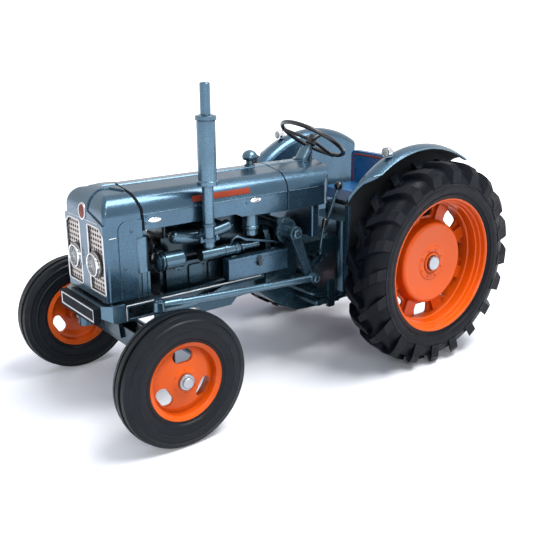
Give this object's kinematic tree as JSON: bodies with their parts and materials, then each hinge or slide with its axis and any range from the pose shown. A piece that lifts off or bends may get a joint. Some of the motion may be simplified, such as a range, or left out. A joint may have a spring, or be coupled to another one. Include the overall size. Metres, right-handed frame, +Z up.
{
  "type": "scale model tractor",
  "caption": "Die-cast scale model of a vintage farm tractor with open engine, lugged rear tyres, working steering linkage, free-turning wheels and a three-point lift.",
  "frame": {"origin": "on the ground, under the middle of the model's length and width", "axes": "+X forward, +Y to the driver's left, +Z up"},
  "size_m": [0.2102, 0.108, 0.1247],
  "materials": {
    "body_blue": "metallic blue-grey enamel, semi-gloss",
    "casting_blue": "darker teal-blue enamel, semi-gloss",
    "wheel_orange": "bright orange enamel, gloss",
    "rear_tyre": "black rubber, matt",
    "front_tyre": "black rubber, matt",
    "chrome": "bright plating",
    "pin_metal": "turned steel",
    "silver": "silver-coated plastic with open holes",
    "lamp_glass": "clear, ribbed",
    "exhaust_black": "satin dark paint",
    "wheel_black": "black plastic, semi-gloss",
    "lever_metal": "dark plastic, semi-gloss",
    "seat_blue": "moulded blue plastic, semi-gloss, with an orange-red line round its edge"
  },
  "bodies": {
    "chassis": {"rear_pins": "pin_metal", "front_axle": "casting_blue", "front_casting": "casting_blue", "number_plate": "body_blue", "side_rails": "casting_blue", "nose_cowl": "body_blue", "grilles": "silver", "headlamps": "chrome", "headlamp_glasses": "lamp_glass", "bonnet": "body_blue", "fuel_tank": "body_blue", "engine_block": "casting_blue", "cylinder_head": "casting_blue", "manifold": "casting_blue", "exhaust": "exhaust_black", "air_cleaner": "casting_blue", "dynamo": "casting_blue", "injection_pump": "casting_blue", "fan": "casting_blue", "radiator": "exhaust_black", "transmission_case": "casting_blue", "hydraulic_cover": "casting_blue", "steering_box": "casting_blue", "steering_column": "chrome", "toolbox": "body_blue", "seat_bracket": "casting_blue", "seat": "seat_blue", "fender_left": "body_blue", "fender_right": "body_blue", "side_lamps": "chrome", "footrests": "casting_blue", "levers": "lever_metal", "pedals": "casting_blue", "drawbar": "casting_blue", "pto_shaft": "pin_metal"},
    "rear_wheel_left": {"rear_tyre_left": "rear_tyre", "rear_rim_left": "wheel_orange"},
    "rear_wheel_right": {"rear_tyre_right": "rear_tyre", "rear_rim_right": "wheel_orange"},
    "front_wheel_left": {"front_tyre_left": "front_tyre", "front_rim_left": "wheel_orange"},
    "front_wheel_right": {"front_tyre_right": "front_tyre", "front_rim_right": "wheel_orange"},
    "knuckle_left": {"knuckle_left": "casting_blue"},
    "knuckle_right": {"knuckle_right": "casting_blue"},
    "tie_rod": {"tie_rod": "casting_blue"},
    "drop_arm": {"drop_arm": "casting_blue"},
    "drag_link": {"drag_link": "casting_blue"},
    "steering_wheel": {"steering_wheel": "wheel_black"},
    "lift_arms": {"lift_arms": "casting_blue"},
    "lift_rods": {"lift_rods": "pin_metal"},
    "lower_links": {"lower_links": "casting_blue"}
  },
  "joints": [
    {"name": "rear_spin_left", "type": "hinge", "parent": "chassis", "child": "rear_wheel_left", "pos_m": [-0.0471, 0.045, 0.0446], "axis": [0, 1, 0], "continuous": true},
    {"name": "rear_spin_right", "type": "hinge", "parent": "chassis", "child": "rear_wheel_right", "pos_m": [-0.0471, -0.045, 0.0446], "axis": [0, 1, 0], "continuous": true},
    {"name": "steer_left", "type": "hinge", "parent": "chassis", "child": "knuckle_left", "pos_m": [0.0799, 0.0345, 0.0252], "axis": [0, 0, 1], "range_deg": [-25, 25]},
    {"name": "steer_right", "type": "hinge", "parent": "chassis", "child": "knuckle_right", "pos_m": [0.0799, -0.0345, 0.0252], "axis": [0, 0, 1], "range_deg": [-25, 25]},
    {"name": "front_spin_left", "type": "hinge", "parent": "knuckle_left", "child": "front_wheel_left", "pos_m": [0.0799, 0.0445, 0.0252], "axis": [0, 1, 0], "continuous": true},
    {"name": "front_spin_right", "type": "hinge", "parent": "knuckle_right", "child": "front_wheel_right", "pos_m": [0.0799, -0.0445, 0.0252], "axis": [0, 1, 0], "continuous": true},
    {"name": "tie_rod_turn", "type": "hinge", "parent": "knuckle_left", "child": "tie_rod", "pos_m": [0.0664, 0.0345, 0.026], "axis": [0, 0, 1], "range_deg": [-25, 25]},
    {"name": "drop_arm_swing", "type": "hinge", "parent": "chassis", "child": "drop_arm", "pos_m": [0.0103, 0.0204, 0.0622], "axis": [0, 1, 0], "range_deg": [-13.6, 13.6]},
    {"name": "drag_link_turn", "type": "hinge", "parent": "drop_arm", "child": "drag_link", "pos_m": [0.0019, 0.0242, 0.0418], "axis": [0, 1, 0], "range_deg": [-12.5, 12.5]},
    {"name": "steering_wheel_turn", "type": "hinge", "parent": "chassis", "child": "steering_wheel", "pos_m": [-0.01735, 0, 0.0963], "axis": [-0.5519, 0, 0.8339], "continuous": true},
    {"name": "lift_arms_swing", "type": "hinge", "parent": "chassis", "child": "lift_arms", "pos_m": [-0.0611, 0, 0.064], "axis": [0, 1, 0], "range_deg": [-8, 25]},
    {"name": "lower_links_swing", "type": "hinge", "parent": "chassis", "child": "lower_links", "pos_m": [-0.0531, 0, 0.025], "axis": [0, 1, 0], "range_deg": [-8, 25]},
    {"name": "lift_rods_turn", "type": "hinge", "parent": "lift_arms", "child": "lift_rods", "pos_m": [-0.0811, 0, 0.064], "axis": [0, 1, 0], "range_deg": [-25, 8]}
  ],
  "couplings": [
    {"joint": "steer_right", "follows": "steer_left", "ratio": 1},
    {"joint": "tie_rod_turn", "follows": "steer_left", "ratio": -1},
    {"joint": "drop_arm_swing", "follows": "steer_left", "ratio": -0.539},
    {"joint": "drag_link_turn", "follows": "steer_left", "ratio": 0.478},
    {"joint": "lower_links_swing", "follows": "lift_arms_swing", "ratio": 1},
    {"joint": "lift_rods_turn", "follows": "lift_arms_swing", "ratio": -1}
  ]
}
